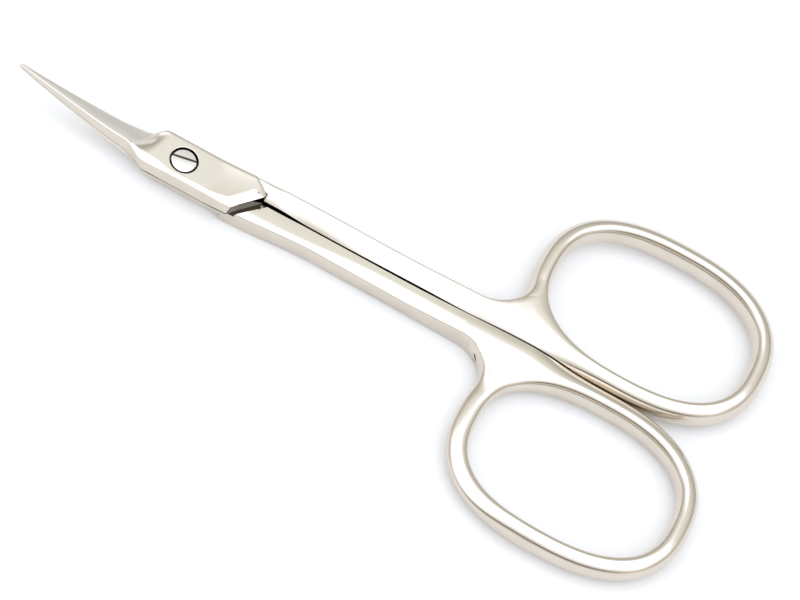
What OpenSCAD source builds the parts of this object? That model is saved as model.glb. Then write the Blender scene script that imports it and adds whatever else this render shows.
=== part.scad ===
// Cuticle scissors, closed, lying on their rests: two forged halves and the slotted pivot screw.
// +X runs to the finger bows, +Y to the upper half's bow, +Z up. The shanks meet on y = 0.

/* [Length] */
// Pivot to blade tips
blade_len = 21; // [17:0.5:26]
// Pivot to the far end of the finger bows
handle_len = 69; // [64:0.5:80]

/* [Blades] */
// Width of a blade at its blunt tip
tip_w = 0.5; // [0.4:0.05:0.8]
// Width of a blade in front of the box joint, before its spine flares out
blade_w = 3.6; // [3:0.05:4.2]
// Rise of the tips above the joint plane
tip_rise = 3.2; // [1.5:0.1:4.5]
// Thickness of a blade at its tip ridge
tip_t = 0.45; // [0.3:0.05:0.6]
// Thickness of a blade at its ridge, half way along
mid_t = 0.95; // [0.7:0.05:1.2]
// Length of the hollow that the far flank is ground to in front of the box
scoop_len = 4.2; // [3:0.1:5]

/* [Box joint] */
// Thickness of both halves together
box_t = 4; // [3.6:0.1:4.8]
// Width across the box
box_w = 4.8; // [4.4:0.1:5.6]
// Pivot to the front of the box
box_front = 4.1; // [3.5:0.1:5]
// Pivot to the rear shoulder corner
box_rear = 6.9; // [6:0.1:8]
// Pivot to the rear point of the box, on the line between the shanks
box_point = 9.9; // [9:0.1:11]
// Distance of the pivot from the line between the shanks
pivot_off = 0.7; // [0:0.05:1]
// Width of the bevel along the outer top edge
bevel_w = 0.8; // [0.4:0.05:1]
// Height of that bevel
bevel_t = 0.4; // [0.2:0.05:0.6]
// Clear space behind the shoulders
notch_gap = 0.4; // [0.2:0.05:0.6]
// Running gap between the flat faces of the two halves
joint_gap = 0.04; // [0.02:0.01:0.08]

/* [Pivot screw] */
// Head diameter
head_d = 2.9; // [2.6:0.05:3.1]
// Head thickness
head_t = 0.95; // [0.8:0.05:1.1]
// Journal that the upper half turns on
journal_d = 2; // [1.8:0.05:2.2]
// Threaded end in the lower half
thread_d = 1.7; // [1.5:0.05:1.75]
// Radial running clearance round the journal
journal_gap = 0.03; // [0.02:0.01:0.06]
// Radial clearance round the head
head_gap = 0.15; // [0.1:0.01:0.2]
// Slot width
slot_w = 0.5; // [0.4:0.05:0.6]
// Slot depth
slot_t = 0.45; // [0.35:0.05:0.5]
// Angle that the slot lies at in the closed pose
slot_turn = 12; // [0:1:180]

/* [Shanks] */
// Line between the shanks to the outer edge, in front of the bow
shank_w = 2.6; // [2.3:0.05:3]
// The same distance where the shank leaves the box
shank_front_w = 2.35; // [2.2:0.05:2.8]
// Thickness at the crest
shank_t = 3.2; // [2.8:0.1:3.6]
// Height of the flat inner face
inner_t = 2.2; // [1.8:0.1:2.6]
// Width of the slope from the crest to the inner face
inner_round = 1; // [0.8:0.05:1.1]
// Gap between the shanks at the box
gap_front = 0.4; // [0.2:0.05:0.5]

/* [Finger bows] */
// Bow length outside
bow_len = 29; // [27:0.5:32]
// Bow width outside
bow_w = 21.8; // [20:0.2:24]
// Squareness of the oval, 2 is an ellipse
bow_square = 2.45; // [2.1:0.05:2.8]
// Width of the bow's section
wire_w = 2.45; // [2.2:0.05:2.8]
// Height of the bow's section
wire_t = 4; // [3.6:0.1:4.8]
// Width of the rounding on each side of the section
wire_round = 1.05; // [0.9:0.01:1.08]
// Radius of the fillet from the shank into the bow
fillet_r = 4.4; // [3.5:0.1:5]
// Gap between the closed bows
bow_gap = 0.12; // [0.08:0.02:0.2]

/* [Hidden] */
nickel = [0.86, 0.84, 0.79];

// How far a cutter reaches past what it cuts, and the grain that shared points are rounded to
cut = 1;
grain = 0.0001;

// Facets of a circle
facets = 64;
// Rows of each stretch of the forged handle, and columns of a rounded edge and of the land between
front_steps = 2;
stem_steps = 12;
fillet_steps = 8;
gap_steps = 14;
bow_steps = 40;
round_steps = 4;
land_steps = 3;
// Rows of a blade, crowded towards its tip by this power, and columns of its ground flank
blade_steps = 20;
tip_crowding = 1.15;
flank_steps = 7;

// Joint plane, pivot and sides of the box
mid_z = box_t / 2;
pivot_x = (blade_len - handle_len) / 2;
near_y = -pivot_off - box_w / 2;
far_y = -pivot_off + box_w / 2;
// Length that the front corners of the box are cut off along, on the spine side and on the edge side
spine_corner = 1.5;
edge_corner = 1.1;
// Bend of the crease behind the box: its distance from the shoulder and its share of the side
crease_x = 1;
crease_share = 0.8;

// Centre and half axes of a bow's centre line
bow_x = handle_len - bow_len / 2;
bow_y = (bow_gap + bow_w) / 2;
bow_a = (bow_len - wire_w) / 2;
bow_b = (bow_w - wire_w) / 2;
// The shank starts this far ahead of the shoulder, this far inside the box, and runs out over a length
stem_lead = 0.9;
stem_x = box_rear - stem_lead;
side_step = 0.1;
run_out = 7;
// The crest rises from the shank's height to the bow's between these places
crest_from = 26;
crest_lead = 2;
crest_to = bow_x - bow_a - crest_lead;
// Length over which the flat inner face fades out where the bows meet
meet_len = 11;
// Most of the shank's width that one rounded edge may take
round_share = 0.47;
// Search for the fillet: first and last angle on the bow, and the number of halvings
turn_from = 180.5;
turn_to = 225;
halvings = 30;
// Arc of the bow's hole that the fillet takes, and that the fillet and the web take together
fillet_arc = 13;
web_arc = 20;

// A blade enters the box this far inside its front corners
blade_inset = 0.05;
// Length of the blade in front of the box
blade_run = blade_len - box_front;
// The spine flares out over this length, and meets the box this far inside its side
flare_len = 2.6;
spine_step = 0.4;
spine_flare = max(0, box_w / 2 - blade_w / 2 - spine_step);
// Blunt tip: share of the area left at the very end, and length of the rounding
tip_share = 0.2;
tip_len = 0.3;
// Powers of the rise of the tips and of the ridge's climb to the box
rise_power = 1.5;
ridge_power = 1.6;
// Depth of the hollow ground flank as a share of the ridge, and the part of the scoop before the box
hollow = 0.28;
scoop_lead = 0.8;
// Share of the width and share of the ridge height up the spine, ending at the ridge
spine_shares = [[0, 0.25], [0.035, 0.62], [0.11, 0.88], [0.22, 1]];
ridge_share = 0.22;
// Thickness of the cutting edge, and length of the blade's end inside the box
edge_t = 0.05;
blade_root = 1.2;
blade_end = blade_run + blade_root;
// Gap from the joint surface to a blade's face
face_gap = joint_gap * 0.75;
// The screw's end stops this far above the table
end_gap = 0.05;

function mix(p, q, t) = p * (1 - t) + q * t;
function clamp01(t) = max(0, min(1, t));
function ease(t) = clamp01(t) * clamp01(t) * (3 - 2 * clamp01(t));
function lift(v, z) = [v[0], v[1], z];
function spow(v, e) = sign(v) * pow(abs(v), e);

// Forged handle, worked out in plan with a half height for every point.

// Half height of the crest at a distance from the pivot
function crest(x) = mix(shank_t, wire_t, ease((x - crest_from) / (crest_to - crest_from))) / 2;

// Gap from the centre line to the inner face
function inner_y(x) = mix(gap_front, bow_gap, clamp01((x - box_point) / (bow_x - box_point))) / 2;

// 0 on the shank to 1 where the two bows meet
function meet(x) = ease((x - bow_x + meet_len) / meet_len);

// Half height of the flat inner face, which fades out where the bows meet
function inner_h(x) = inner_t / 2 * (1 - meet(x));

// Width of the slope beside the inner face
function inner_w(x) = mix(inner_round, wire_round, meet(x));

// Outer edge of the shank, which runs out from the side of the box
function outer_y(x, side_y) =
    mix(side_y - side_step, mix(shank_front_w, shank_w, clamp01((x - box_point) / (fillet_x - box_point))),
        ease((x - stem_x) / run_out));

// Point on the bow's centre line, and its outward normal
function bow_at(t) =
    [bow_x + bow_a * spow(cos(t), 2 / bow_square), bow_y + bow_b * spow(sin(t), 2 / bow_square)];
function bow_normal(t) =
    let(p = bow_at(t) - [bow_x, bow_y],
        g = [spow(p[0] / bow_a, bow_square - 1) / bow_a, spow(p[1] / bow_b, bow_square - 1) / bow_b])
    g / norm(g);

// The fillet circle touches the shank's edge and the bow: bisect for the angle where it meets the bow
function fillet_miss(t) = bow_at(t)[1] + bow_normal(t)[1] * (wire_w / 2 + fillet_r) - (shank_w + fillet_r);
function fillet_turn(lo, hi, n) =
    n == 0 ? (lo + hi) / 2 :
    let(m = (lo + hi) / 2) fillet_miss(m) > 0 ? fillet_turn(m, hi, n - 1) : fillet_turn(lo, m, n - 1);
turn_a = fillet_turn(turn_from, turn_to, halvings);
turn_b = 270;
fillet_c = bow_at(turn_a) + bow_normal(turn_a) * (wire_w / 2 + fillet_r);
fillet_x = fillet_c[0];
fillet_top = atan2(-bow_normal(turn_a)[1], -bow_normal(turn_a)[0]);

// A rounded edge steps in from the side as one minus cosine and rises as sine
function step_in(j) = 1 - cos(90 * j / round_steps);
function step_up(j) = sin(90 * j / round_steps);

// Hole side of a section: from the hole's wall to the crest
function hole_side(t) =
    [for (j = [0:round_steps])
        let(p = bow_at(t) - bow_normal(t) * (wire_w / 2 - wire_round * step_in(j)))
        lift(p, crest(p[0]) * step_up(j))];

// Outer side of a section of the bow: from the crest to the outer edge
function rim_side(t) =
    [for (j = [round_steps:-1:0])
        let(p = bow_at(t) + bow_normal(t) * (wire_w / 2 - wire_round * step_in(j)))
        lift(p, crest(p[0]) * step_up(j))];

// Fillet side: from the crest to the fillet's wall
function fillet_side(a) =
    [for (j = [round_steps:-1:0])
        let(p = fillet_c + (fillet_r + wire_round * step_in(j)) * [cos(a), sin(a)])
        lift(p, crest(p[0]) * step_up(j))];

// Inner side: from the crest to the top edge of the flat inner face, at most as wide as it is told
function inner_side(x, widest) =
    [for (j = [round_steps:-1:0])
        let(h = inner_h(x) + (crest(x) - inner_h(x)) * pow(step_up(j), 2 - meet(x)))
        [x, inner_y(x) + min(widest, inner_w(x)) * step_in(j), h]];

// Outer side of the shank: from the outer edge to the crest
function outer_side(x, side_y, widest) =
    [for (j = [0:round_steps])
        [x, outer_y(x, side_y) - min(widest, wire_round) * step_in(j), crest(x) * step_up(j)]];

// Points between the crests of the two sides
function between(p, q) =
    [for (k = [1:land_steps - 1]) let(m = mix(p, q, k / land_steps)) lift(m, crest(m[0]))];
function join(a, b) = concat(a, between(a[round_steps], b[0]), b);

function bow_row(t) = join(hole_side(t), rim_side(t));
function fillet_row(s) =
    join(hole_side(mix(turn_a, turn_a + fillet_arc, s)), fillet_side(mix(fillet_top, -90, s)));
function gap_row(s) =
    join(hole_side(mix(turn_a + web_arc, turn_b, s)), inner_side(mix(fillet_x, bow_x, s), wire_w / 2));
function stem_row(x, side_y, slant) =
    let(widest = round_share * (outer_y(x, side_y) - inner_y(x)))
    [for (p = join(outer_side(x, side_y, widest), inner_side(x, widest)))
        p + [(box_point - box_rear) * slant * (1 - p[1] / side_y), 0, 0]];
function web_row(s) =
    let(a = hole_side(mix(turn_a + fillet_arc, turn_a + web_arc, s)),
        b = stem_row(fillet_x, shank_w, 0)[round_steps + round(land_steps * s)])
    concat(a, between(a[round_steps], b), [b]);

// Cells of a grid of rows, each as two triangles
function grid_faces(rows, cols, start) =
    [for (i = [0:rows - 2], j = [0:cols - 2])
        let(p = start + i * cols + j, q = p + cols) each [[p, q + 1, p + 1], [p, q, q + 1]]];

function flat(rows) = [for (r = rows) each r];
function snap(p) = [for (v = p) round(v / grain) * grain];
function above(p) = snap([p[0], p[1], mid_z + p[2]]);
function below(p) = snap([p[0], p[1], mid_z - p[2]]);

// Forged handle on the +Y side: shank, web, fillet and bow as one closed surface.
// Its front end is only half as thick, and stands over the other half's lap.
module handle(side_y) {
    notch_x = box_rear + notch_gap;
    front = [for (i = [0:front_steps])
        [for (p = stem_row(mix(stem_x, notch_x, i / front_steps), side_y, 1)) lift(p, max(p[2], joint_gap))]];
    rear = [for (i = [0:stem_steps])
        let(s = i / stem_steps) stem_row(mix(notch_x, fillet_x, s), side_y, 1 - ease(2 * s))];
    stem = concat([front[front_steps]], [for (i = [1:stem_steps]) rear[i]]);
    fillet = [for (i = [0:fillet_steps]) fillet_row(i / fillet_steps)];
    web = [for (i = [0:land_steps]) web_row(i / land_steps)];
    gap = [for (i = [0:gap_steps]) gap_row(i / gap_steps)];
    bow = [for (i = [0:bow_steps]) bow_row(mix(turn_b, turn_a + 360, i / bow_steps))];
    cols = round_steps * 2 + land_steps + 1;
    web_cols = round_steps + land_steps + 1;
    s0 = (front_steps + 1) * cols;
    f0 = s0 + (stem_steps + 1) * cols;
    w0 = f0 + (fillet_steps + 1) * cols;
    g0 = w0 + (land_steps + 1) * web_cols;
    b0 = g0 + (gap_steps + 1) * cols;
    n = b0 + (bow_steps + 1) * cols;
    rest = concat(flat(fillet), flat(web), flat(gap), flat(bow));
    top = concat(
        grid_faces(front_steps + 1, cols, 0),
        grid_faces(stem_steps + 1, cols, s0),
        grid_faces(fillet_steps + 1, cols, f0),
        grid_faces(land_steps + 1, web_cols, w0),
        grid_faces(gap_steps + 1, cols, g0),
        grid_faces(bow_steps + 1, cols, b0));
    under = [for (f = top) [f[2] + n, f[1] + n, f[0] + n]];
    step_p = s0 + cols - 1;
    step = [[step_p, step_p + cols, step_p + cols + n], [step_p, step_p + cols + n, n + s0 - 1],
        [n + s0 - 1, step_p + cols + n, step_p + n]];
    edge = concat(
        [for (i = [0:front_steps - 1]) i],
        [for (i = [1:stem_steps - 1]) front_steps + 1 + i]);
    wall = [for (i = edge)
        let(p = i * cols + cols - 1, q = p + cols) each [[p, q, q + n], [p, q + n, p + n]]];
    wall_gap = [for (i = [0:gap_steps - 2])
        let(p = g0 + i * cols + cols - 1, q = p + cols) each [[p, q, q + n], [p, q + n, p + n]]];
    last_p = g0 + (gap_steps - 1) * cols + cols - 1;
    last = [[last_p, last_p + cols, last_p + n], [s0, s0 + n, s0 + cols]];
    cap = [for (j = [0:cols - 2])
        each (j == 0 ? [[0, 1, 1 + n]] : [[j, j + 1 + n, j + n], [j, j + 1, j + 1 + n]])];
    notch_a = n + s0 - cols;
    notch_b = n + s0;
    notch = [for (j = [0:cols - 2])
        each [[notch_a + j, notch_a + j + 1, notch_b + j + 1], [notch_a + j, notch_b + j + 1, notch_b + j]]];
    polyhedron(
        points = concat(
            [for (p = concat(flat(front), flat(stem), rest)) above(p)],
            [for (p = flat(front)) above(lift(p, joint_gap))],
            [for (p = concat(flat(rear), rest)) below(p)]),
        faces = concat(top, under, step, wall, wall_gap, last, cap, notch),
        convexity = 8);
}

// Ground blade, set by the distance from its tip

// The mating face is turned about the pivot, so that the blades pass each other at every angle
function mating_z(r) =
    mid_z + tip_rise * pow(max(0, r - box_front) / blade_run, rise_power);

// Half width at a distance from the tip: a straight taper, rounded off at the blunt end
function blunt(t) = sqrt(clamp01(tip_share + t / tip_len));
function edge_v(t) = blunt(t) * mix(tip_w, blade_w, t / blade_run) / 2;

// The same on the spine side, where the blade flares out to the box
function spine_v(t) = edge_v(t) + spine_flare * ease((t - blade_run + flare_len) / flare_len);

// Place across the blade at a share of its width from the spine
function across(t, share) = mix(-spine_v(t), edge_v(t), share);

// Ridge height above the mating face
function ridge(t) =
    let(s = min(1, t / blade_run), full = mid_z - joint_gap)
    s < 0.5 ? mix(tip_t, mid_t, s * 2) : mix(mid_t, full, pow(s * 2 - 1, ridge_power));

// Height of the ground flank at a share of the width from the ridge to the cutting edge
function flank(t, s) =
    let(slope = 1 - s - hollow * sin(180 * s),
        run = clamp01((t - blade_run + scoop_len * scoop_lead) / scoop_len),
        fill = 1 - sqrt(1 - run * run))
    mix(edge_t + (ridge(t) - edge_t) * slope, mid_z - joint_gap, fill);

// Half of the blades: up is 1 for the half on top and -1 for the half below
function blade_point(t, v, h, up) =
    let(x = t - blade_len)
    [x, -pivot_off + up * v, mating_z(norm([x, v])) + up * (face_gap + h)];
function blade_row(t, up) =
    concat(
        [for (p = spine_shares) blade_point(t, across(t, p[0]), ridge(t) * p[1], up)],
        [for (j = [1:flank_steps])
            let(s = j / flank_steps) blade_point(t, across(t, mix(ridge_share, 1, s)), flank(t, s), up)]);
function face_row(t, up) =
    concat(
        [for (p = spine_shares) blade_point(t, across(t, p[0]), 0, up)],
        [for (j = [1:flank_steps]) blade_point(t, across(t, mix(ridge_share, 1, j / flank_steps)), 0, up)]);

module blade(up) {
    stations = [for (i = [0:blade_steps]) blade_end * pow(i / blade_steps, tip_crowding)];
    cols = len(spine_shares) + flank_steps;
    back = [for (t = stations) each blade_row(t, up)];
    face = [for (t = stations) each face_row(t, up)];
    n = len(back);
    last = blade_steps * cols;
    under = [for (f = grid_faces(blade_steps + 1, cols, 0)) f + [n, n, n]];
    top = [for (f = grid_faces(blade_steps + 1, cols, 0)) [f[2], f[1], f[0]]];
    sides = [for (i = [0:blade_steps - 1])
        let(p = i * cols, q = p + cols, r = p + cols - 1, s = r + cols)
        each [[p, q + n, p + n], [p, q, q + n], [r, r + n, s + n], [r, s + n, s]]];
    caps = [for (j = [0:cols - 2])
        each [[j, j + 1 + n, j + 1], [j, j + n, j + 1 + n],
            [last + j, last + j + 1 + n, last + j + n], [last + j, last + j + 1, last + j + 1 + n]]];
    polyhedron(points = concat(back, face), faces = concat(top, under, sides, caps), convexity = 6);
}

// Box joint

// Plan of one lap: front, shoulder, rear point, crease to its own shank
module lap_plan(up) {
    shoulder_y = -pivot_off - up * box_w / 2;
    side_y = -pivot_off + up * box_w / 2;
    spine_y = -pivot_off - up * (spine_v(blade_run) + blade_inset);
    edge_y = -pivot_off + up * (edge_v(blade_run) + blade_inset);
    polygon([
        [-box_front, spine_y],
        [spine_corner - box_front, shoulder_y],
        [box_rear, shoulder_y],
        [box_point, 0],
        [box_rear + crease_x, side_y * crease_share],
        [box_rear, side_y],
        [edge_corner - box_front, side_y],
        [-box_front, edge_y]]);
}

// Lap with the bevel along its outer edge
module lap(up) {
    shoulder_y = -pivot_off - up * box_w / 2;
    outer_z = up > 0 ? box_t : 0;
    thick = mid_z - joint_gap / 2;
    difference() {
        translate([0, 0, up > 0 ? box_t - thick : 0]) linear_extrude(thick) lap_plan(up);
        translate([-box_front - cut, 0, 0]) rotate([90, 0, 90])
            linear_extrude(box_point + box_front + 2 * cut) polygon([
                [shoulder_y - up * bevel_w, outer_z - up * bevel_t * 2],
                [shoulder_y + up * bevel_w, outer_z],
                [shoulder_y + up * bevel_w, outer_z + up * bevel_t],
                [shoulder_y - up * bevel_w, outer_z + up * bevel_t]]);
    }
}

module at_pivot() {
    translate([0, -pivot_off, 0]) children();
}

module upper_half() {
    color(nickel) translate([pivot_x, 0, 0]) {
        difference() {
            union() {
                handle(far_y);
                lap(1);
                blade(1);
            }
            at_pivot() cylinder(h = box_t + cut, d = journal_d + 2 * journal_gap, $fn = facets);
            at_pivot() translate([0, 0, box_t - head_t])
                cylinder(h = head_t + cut, d = head_d + 2 * head_gap, $fn = facets);
        }
    }
}

module lower_half() {
    color(nickel) translate([pivot_x, 0, 0]) {
        difference() {
            union() {
                translate([0, 0, box_t]) rotate([180, 0, 0]) handle(-near_y);
                lap(-1);
                blade(-1);
            }
            at_pivot() translate([0, 0, -cut]) cylinder(h = box_t, d = thread_d, $fn = facets);
        }
    }
}

// Shoulder screw: slotted head in the counterbore, journal in the upper half, thread in the lower half
module pivot_screw() {
    seat_z = mid_z - joint_gap / 2;
    color(nickel) translate([pivot_x, -pivot_off, 0]) difference() {
        union() {
            translate([0, 0, end_gap]) cylinder(h = seat_z - end_gap, d = thread_d, $fn = facets);
            translate([0, 0, seat_z]) cylinder(h = box_t - seat_z - head_t / 2, d = journal_d, $fn = facets);
            translate([0, 0, box_t - head_t + joint_gap])
                cylinder(h = head_t - joint_gap, d = head_d, $fn = facets);
        }
        translate([0, 0, box_t - slot_t]) rotate(slot_turn) translate([-head_d, -slot_w / 2, 0])
            cube([head_d * 2, slot_w, slot_t + cut]);
    }
}

lower_half();
upper_half();
pivot_screw();
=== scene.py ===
"""Looks of a pair of cuticle scissors: two forged halves, the slotted pivot screw, table and studio."""

import math

import bmesh
import bpy
import numpy as np
from bpy.props import FloatProperty, FloatVectorProperty, PointerProperty
from mathutils import Matrix, Vector


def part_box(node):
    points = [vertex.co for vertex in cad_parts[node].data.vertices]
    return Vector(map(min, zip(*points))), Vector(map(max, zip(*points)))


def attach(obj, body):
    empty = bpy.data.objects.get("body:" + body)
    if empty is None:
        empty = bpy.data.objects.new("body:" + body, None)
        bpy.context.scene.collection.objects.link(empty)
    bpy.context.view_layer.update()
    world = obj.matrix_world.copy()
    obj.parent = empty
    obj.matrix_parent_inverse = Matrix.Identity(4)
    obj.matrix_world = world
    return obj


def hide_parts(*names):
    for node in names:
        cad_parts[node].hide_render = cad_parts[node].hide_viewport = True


bl_info = {
    "name": "Cuticle scissors",
    "version": (1, 0, 0),
    "blender": (4, 5, 0),
    "location": "View3D > Sidebar > Scissors",
    "description": "Builds the surfaces, finishes and studio of a pair of cuticle scissors",
    "category": "Object",
}

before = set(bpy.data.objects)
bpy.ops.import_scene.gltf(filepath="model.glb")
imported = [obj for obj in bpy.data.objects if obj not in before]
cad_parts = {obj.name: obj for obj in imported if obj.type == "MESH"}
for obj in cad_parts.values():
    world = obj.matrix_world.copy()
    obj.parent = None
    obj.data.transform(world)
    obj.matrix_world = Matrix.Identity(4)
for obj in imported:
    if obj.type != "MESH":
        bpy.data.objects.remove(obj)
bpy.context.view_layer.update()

MM = 0.001
UPPER, LOWER, SCREW = "upper_half", "lower_half", "pivot_screw"
BODY_UPPER, BODY_LOWER = "upper", "lower"

# Sizes that the CAD solids fix, in mm from the pivot along the scissors, from the line between
# the shanks across them, and from the table up
PIVOT_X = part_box(SCREW)[0].x / MM / 2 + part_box(SCREW)[1].x / MM / 2
PIVOT_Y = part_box(SCREW)[0].y / MM / 2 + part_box(SCREW)[1].y / MM / 2
TIP = PIVOT_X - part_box(UPPER)[0].x / MM
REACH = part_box(UPPER)[1].x / MM - PIVOT_X
BOX_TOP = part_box(SCREW)[1].z / MM
FACE = BOX_TOP / 2
# Each half's mating face stays clear of the parting plane, and the blades bend up to the tips
FACE_GAP = 0.02
BEND_START = 4.1
TIP_RISE = 3.2
# Behind the pivot: the notch at the end of the lap, and the rear point of the lap's shoulder
NOTCH_X = 7.75
REAR_POINT = 9.9

# What differs between the halves: half width of the handle at the box, radius and depth of the
# screw's hole, and the far side of the lap with the width and height of its rounding
UPPER_SHAPE = {"side": 2.04, "hole": (1.66, 0.97), "edge": (2.68, 0.5, 0.5)}
LOWER_SHAPE = {"side": 3.1, "hole": (0.86, 0.3), "edge": (2.42, 1.1, 1.6)}

# Points of a mesh this close are one, in metres
MERGE = 2e-7
DEGENERATE = 1e-8


# Settings

class HandleSettings(bpy.types.PropertyGroup):
    """Sizes of the shanks and the finger bows."""
    bow_len: FloatProperty(name="Bow length", description="Outside length of a finger bow",
                           default=29.0 * MM, unit="LENGTH")
    bow_w: FloatProperty(name="Bow width", description="Outside width of a finger bow",
                         default=21.8 * MM, unit="LENGTH")
    bow_square: FloatProperty(name="Squareness", description="Exponent of the oval, 2 is an ellipse",
                              default=2.45, min=2.0, max=3.0)
    wire_w: FloatProperty(name="Section width", description="Width of the bow's section",
                          default=2.45 * MM, unit="LENGTH")
    wire_t: FloatProperty(name="Section height", description="Height of the bow's section",
                          default=4.0 * MM, unit="LENGTH")
    shank_w: FloatProperty(name="Shank width", description="Centre line to the outer edge at the bow",
                           default=2.6 * MM, unit="LENGTH")
    shank_front_w: FloatProperty(name="Shank width in front", description="The same behind the box",
                                 default=2.35 * MM, unit="LENGTH")
    shank_t: FloatProperty(name="Shank height", description="Height of the shank at its crest",
                           default=3.2 * MM, unit="LENGTH")
    inner_t: FloatProperty(name="Inner face height", description="Height of the flat inner face",
                           default=2.2 * MM, unit="LENGTH")
    fillet_r: FloatProperty(name="Fillet radius", description="Fillet between shank and bow",
                            default=4.4 * MM, unit="LENGTH")


class BladeSettings(bpy.types.PropertyGroup):
    """Sizes of the blades and the box joint."""
    tip_half: FloatProperty(name="Tip", description="Half width of a blade at its tip",
                            default=0.25 * MM, unit="LENGTH")
    taper: FloatProperty(name="Taper", description="Half width gained for each unit of length",
                         default=0.085)
    bevel_w: FloatProperty(name="Bevel width", description="Bevel along the top edge of the box",
                           default=0.8 * MM, unit="LENGTH")
    bevel_t: FloatProperty(name="Bevel height", description="Drop of that bevel",
                           default=0.4 * MM, unit="LENGTH")
    hollow: FloatProperty(name="Hollow", description="Depth that the flank is ground hollow, as a share",
                          default=0.10)


class FinishSettings(bpy.types.PropertyGroup):
    """Colours of the finishes."""
    nickel: FloatVectorProperty(name="Nickel", description="Bright warm nickel plate", subtype="COLOR",
                                size=4, default=(0.70, 0.638, 0.555, 1.0), min=0.0, max=1.0)
    ground: FloatVectorProperty(name="Ground steel", description="Ground flank of a blade", subtype="COLOR",
                                size=4, default=(0.80, 0.755, 0.69, 1.0), min=0.0, max=1.0)
    screw: FloatVectorProperty(name="Screw", description="Turned screw head", subtype="COLOR",
                               size=4, default=(0.74, 0.70, 0.65, 1.0), min=0.0, max=1.0)


class StudioSettings(bpy.types.PropertyGroup):
    """Camera's place, turn and lens."""
    distance: FloatProperty(name="Distance", description="Camera to its target",
                            default=507.0 * MM, unit="LENGTH")
    elevation: FloatProperty(name="Elevation", description="Camera's height angle",
                             default=math.radians(60.07), subtype="ANGLE")
    azimuth: FloatProperty(name="Azimuth", description="Camera's turn from the -Y side",
                           default=math.radians(1.45), subtype="ANGLE")
    roll: FloatProperty(name="Roll", description="Turn of the picture",
                        default=math.radians(-27.33), subtype="ANGLE")
    lens: FloatProperty(name="Lens", description="Focal length in millimetres on a 36 mm sensor",
                        default=203.7, min=20.0, max=400.0)


# Numpy helpers

def mix(a, b, t):
    """Straight blend from a to b."""
    return a + (b - a) * t


def clamp(t):
    """t held between 0 and 1."""
    return np.clip(t, 0.0, 1.0)


def ease(t):
    """Smooth step: 3 t^2 - 2 t^3 between 0 and 1."""
    t = clamp(t)
    return t * t * (3.0 - 2.0 * t)


def grow(x, start, over):
    """0 before start, rising by a smooth step to 1 over a length."""
    return ease((x - start) / over)


def fall(x, start, over):
    """1 before start, falling by a smooth step to 0 over a length."""
    return 1 - grow(x, start, over)


def spow(v, e):
    """Power that keeps the sign."""
    return np.sign(v) * np.abs(v) ** e


def grid_quads(rows, cols, start=0):
    """Corner numbers of the cells of a grid of points that are kept row after row."""
    i, j = np.meshgrid(np.arange(rows - 1), np.arange(cols - 1), indexing="ij")
    p = start + i * cols + j
    q = p + 1
    return np.stack([p, q, q + cols, p + cols], axis=-1).reshape(-1, 4)


def build_mesh(name, sheets, sharp_deg=38.0, ground=None, painted_shade=None):
    """One object from a list of grids of points in mm from the pivot, joined where they meet.

    Each sheet is an array (rows, columns, 3). The points are moved to the row frame, in metres.
    The ground finish and the painted shade are each given as a 0 to 1 value for each sheet or each of its
    points, kept as attributes; the painted shade darkens crevices, the hole, the slot and the joints where
    shade falls.
    """
    sizes = [g.shape[0] * g.shape[1] for g in sheets]
    starts = np.cumsum([0] + sizes[:-1])
    faces = np.concatenate([grid_quads(g.shape[0], g.shape[1], k) for g, k in zip(sheets, starts)])
    co = np.concatenate([g.reshape(-1, 3) for g in sheets]) * MM + np.array([PIVOT_X * MM, 0.0, 0.0])
    mesh = bpy.data.meshes.new(name)
    mesh.from_pydata(co.tolist(), [], faces.tolist())
    for key, given in (("ground", ground), ("painted_shade", painted_shade)):
        given = [0.0] * len(sheets) if given is None else given
        value = np.concatenate([np.broadcast_to(v, g.shape[:2]).reshape(-1) for v, g in zip(given, sheets)])
        layer = mesh.attributes.new(key, "FLOAT", "CORNER")
        layer.data.foreach_set("value", value[faces.reshape(-1)].astype(np.float32))
    work = bmesh.new()
    work.from_mesh(mesh)
    bmesh.ops.remove_doubles(work, verts=work.verts, dist=MERGE)
    bmesh.ops.dissolve_degenerate(work, edges=work.edges, dist=DEGENERATE)
    bmesh.ops.recalc_face_normals(work, faces=work.faces)
    work.to_mesh(mesh)
    work.free()
    mesh.polygons.foreach_set("use_smooth", np.ones(len(mesh.polygons), bool))
    mesh.set_sharp_from_angle(angle=math.radians(sharp_deg))
    obj = bpy.data.objects.new(name, mesh)
    bpy.context.scene.collection.objects.link(obj)
    return obj


# Forged handle

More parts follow.
